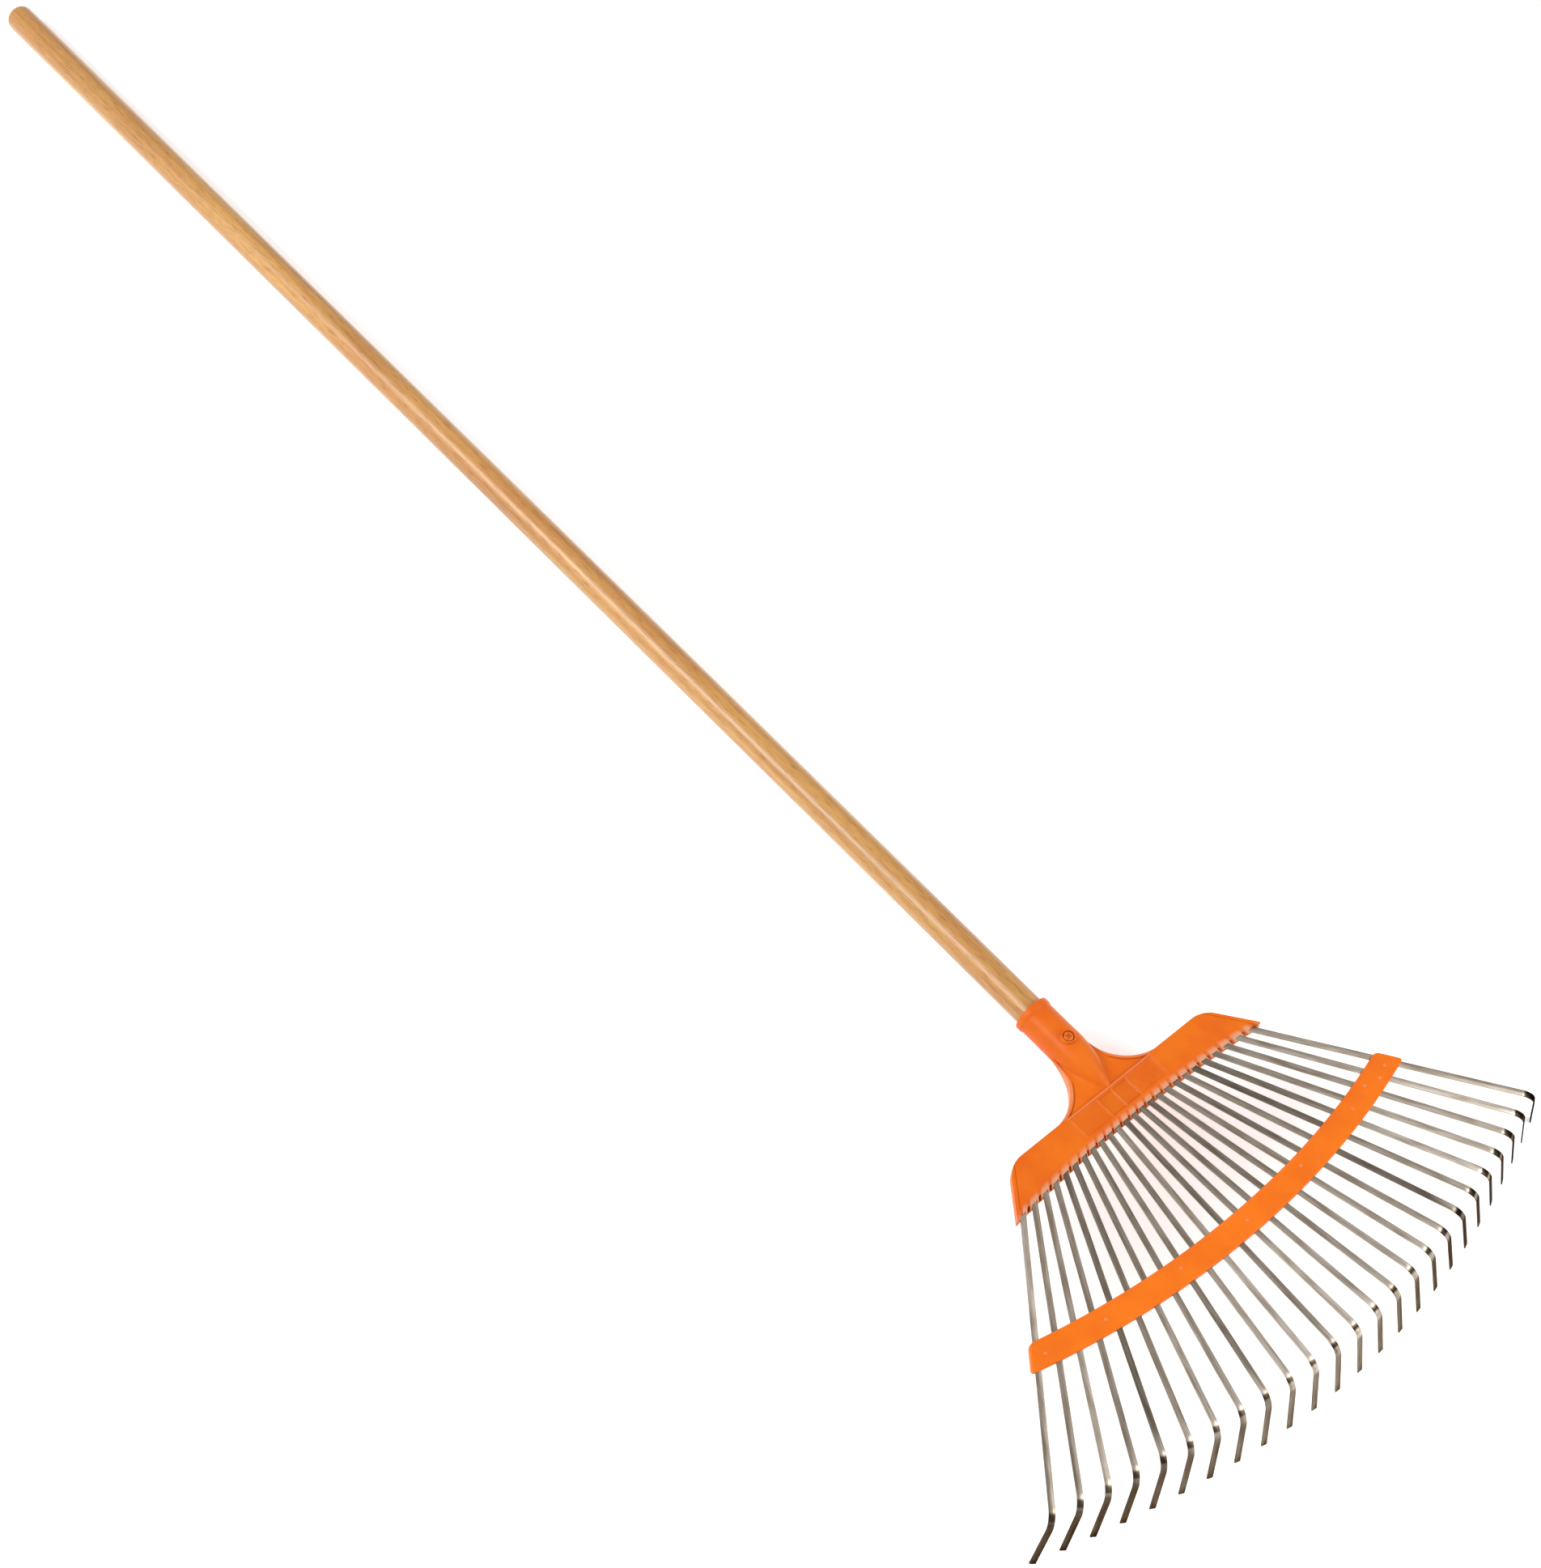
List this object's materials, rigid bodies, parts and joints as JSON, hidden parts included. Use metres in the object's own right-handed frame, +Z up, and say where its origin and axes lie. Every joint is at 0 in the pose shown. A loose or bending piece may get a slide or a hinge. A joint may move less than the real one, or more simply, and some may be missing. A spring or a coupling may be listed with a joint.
{
  "type": "leaf rake",
  "caption": "Leaf rake with a long round wooden handle, a moulded head on a socket, a fan of flat spring-steel tines with bent tips, and a curved cross brace.",
  "frame": {"origin": "middle of the bounding box in plan, at the floor that the rake lies on", "axes": "+X from the handle's butt to the tines, +Y to the left across the head when looking from the butt to the tines, +Z up; the rake lies top side up on its outer tine tips and the butt"},
  "size_m": [1.6594, 0.5322, 0.0721],
  "materials": {
    "lacquered_ash": "clear lacquered light hardwood, satin gloss",
    "moulded_plastic": "orange injection moulding, semi-gloss",
    "brace_plastic": "orange injection moulding, semi-gloss, a little brighter than the head",
    "tine_steel": "tempered flat spring steel, grey-brown, rolled surface",
    "painted_screw": "steel screw, its head painted the orange of the head"
  },
  "bodies": {
    "root": {"handle": "lacquered_ash", "head": "moulded_plastic", "tine_retainer": "moulded_plastic", "tine_01": "tine_steel", "tine_02": "tine_steel", "tine_03": "tine_steel", "tine_04": "tine_steel", "tine_05": "tine_steel", "tine_06": "tine_steel", "tine_07": "tine_steel", "tine_08": "tine_steel", "tine_09": "tine_steel", "tine_10": "tine_steel", "tine_11": "tine_steel", "tine_12": "tine_steel", "tine_13": "tine_steel", "tine_14": "tine_steel", "tine_15": "tine_steel", "tine_16": "tine_steel", "tine_17": "tine_steel", "tine_18": "tine_steel", "tine_19": "tine_steel", "tine_20": "tine_steel", "tine_21": "tine_steel", "tine_22": "tine_steel", "tine_23": "tine_steel", "tine_24": "tine_steel", "tine_25": "tine_steel", "brace": "brace_plastic", "handle_screw": "painted_screw"}
  },
  "joints": []
}
